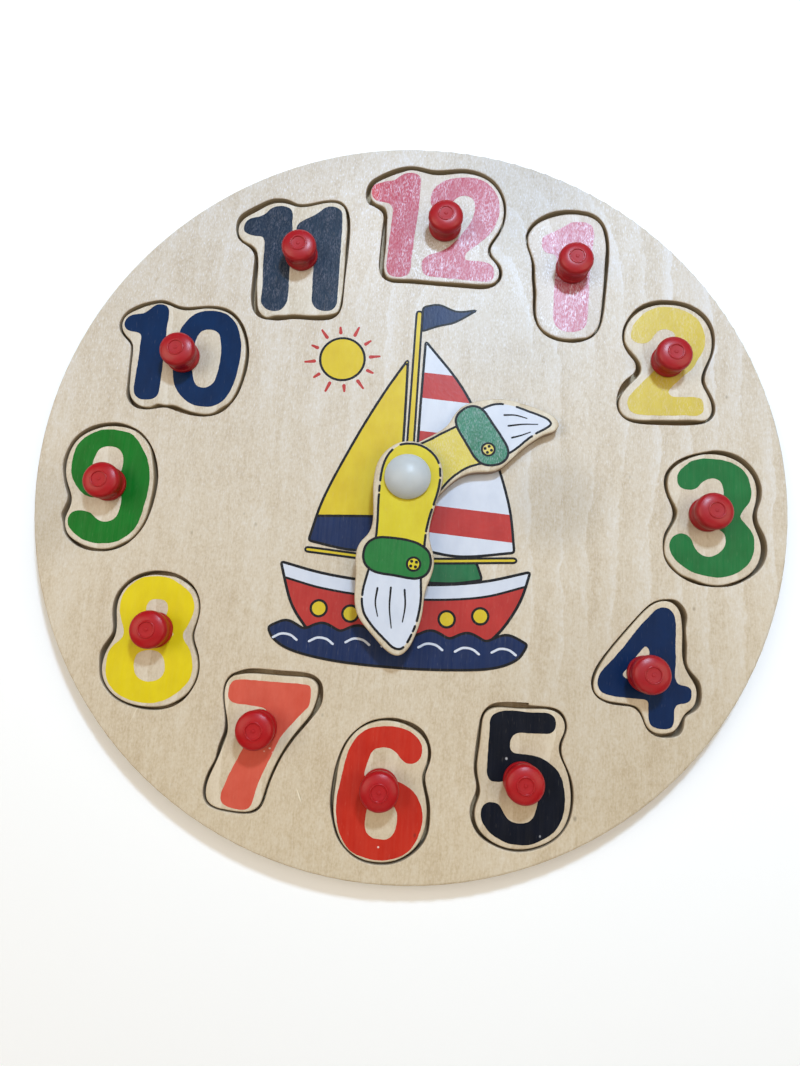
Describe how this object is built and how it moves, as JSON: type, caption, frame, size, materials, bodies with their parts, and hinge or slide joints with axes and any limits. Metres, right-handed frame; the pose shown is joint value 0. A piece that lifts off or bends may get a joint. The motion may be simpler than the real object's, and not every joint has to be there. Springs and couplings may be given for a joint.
{
  "type": "wooden teaching clock puzzle",
  "caption": "Round wooden teaching clock with lift-out number pieces on knobs in cut wells and hand-set hands on a plastic hub.",
  "frame": {"origin": "hub axis on the flat back face of the dial, with the clock lying on its back", "axes": "+Z out of the dial face, +Y towards 12 o'clock, +X towards 3 o'clock"},
  "size_m": [0.3, 0.3, 0.0234],
  "materials": {
    "dial_ply": "clear satin varnish on pale birch-type plywood",
    "backing_ply": "unfinished plywood, slightly browner than the face",
    "piece_ply": "clear satin varnish on pale plywood, printed numeral on top",
    "red_knob": "glossy moulded",
    "screw_steel": "zinc-plated",
    "hand_ply": "printed and varnished plywood",
    "hub_white": "satin moulded, slightly translucent",
    "washer_clear": "natural"
  },
  "bodies": {
    "dial": {"backing_board": "backing_ply", "front_board": "dial_ply", "hub_cap": "hub_white", "hub_lower_washer": "washer_clear", "hub_middle_washer": "washer_clear", "hub_rear_rivet": "hub_white"},
    "number_01": {"number_piece_01": "piece_ply", "knob_01": "red_knob", "knob_screw_01": "screw_steel"},
    "number_02": {"number_piece_02": "piece_ply", "knob_02": "red_knob", "knob_screw_02": "screw_steel"},
    "number_03": {"number_piece_03": "piece_ply", "knob_03": "red_knob", "knob_screw_03": "screw_steel"},
    "number_04": {"number_piece_04": "piece_ply", "knob_04": "red_knob", "knob_screw_04": "screw_steel"},
    "number_05": {"number_piece_05": "piece_ply", "knob_05": "red_knob", "knob_screw_05": "screw_steel"},
    "number_06": {"number_piece_06": "piece_ply", "knob_06": "red_knob", "knob_screw_06": "screw_steel"},
    "number_07": {"number_piece_07": "piece_ply", "knob_07": "red_knob", "knob_screw_07": "screw_steel"},
    "number_08": {"number_piece_08": "piece_ply", "knob_08": "red_knob", "knob_screw_08": "screw_steel"},
    "number_09": {"number_piece_09": "piece_ply", "knob_09": "red_knob", "knob_screw_09": "screw_steel"},
    "number_10": {"number_piece_10": "piece_ply", "knob_10": "red_knob", "knob_screw_10": "screw_steel"},
    "number_11": {"number_piece_11": "piece_ply", "knob_11": "red_knob", "knob_screw_11": "screw_steel"},
    "number_12": {"number_piece_12": "piece_ply", "knob_12": "red_knob", "knob_screw_12": "screw_steel"},
    "hour_hand": {"hour_hand": "hand_ply"},
    "minute_hand": {"minute_hand": "hand_ply"}
  },
  "joints": [
    {"name": "number_01_lift", "type": "slide", "parent": "dial", "child": "number_01", "axis": [0, 0, 1], "range_m": [0, 0.03]},
    {"name": "number_02_lift", "type": "slide", "parent": "dial", "child": "number_02", "axis": [0, 0, 1], "range_m": [0, 0.03]},
    {"name": "number_03_lift", "type": "slide", "parent": "dial", "child": "number_03", "axis": [0, 0, 1], "range_m": [0, 0.03]},
    {"name": "number_04_lift", "type": "slide", "parent": "dial", "child": "number_04", "axis": [0, 0, 1], "range_m": [0, 0.03]},
    {"name": "number_05_lift", "type": "slide", "parent": "dial", "child": "number_05", "axis": [0, 0, 1], "range_m": [0, 0.03]},
    {"name": "number_06_lift", "type": "slide", "parent": "dial", "child": "number_06", "axis": [0, 0, 1], "range_m": [0, 0.03]},
    {"name": "number_07_lift", "type": "slide", "parent": "dial", "child": "number_07", "axis": [0, 0, 1], "range_m": [0, 0.03]},
    {"name": "number_08_lift", "type": "slide", "parent": "dial", "child": "number_08", "axis": [0, 0, 1], "range_m": [0, 0.03]},
    {"name": "number_09_lift", "type": "slide", "parent": "dial", "child": "number_09", "axis": [0, 0, 1], "range_m": [0, 0.03]},
    {"name": "number_10_lift", "type": "slide", "parent": "dial", "child": "number_10", "axis": [0, 0, 1], "range_m": [0, 0.03]},
    {"name": "number_11_lift", "type": "slide", "parent": "dial", "child": "number_11", "axis": [0, 0, 1], "range_m": [0, 0.03]},
    {"name": "number_12_lift", "type": "slide", "parent": "dial", "child": "number_12", "axis": [0, 0, 1], "range_m": [0, 0.03]},
    {"name": "hour_hand_turn", "type": "hinge", "parent": "dial", "child": "hour_hand", "pos_m": [0, 0, 0.0115], "axis": [0, 0, 1], "continuous": true},
    {"name": "minute_hand_turn", "type": "hinge", "parent": "dial", "child": "minute_hand", "pos_m": [0, 0, 0.0158], "axis": [0, 0, 1], "continuous": true}
  ]
}
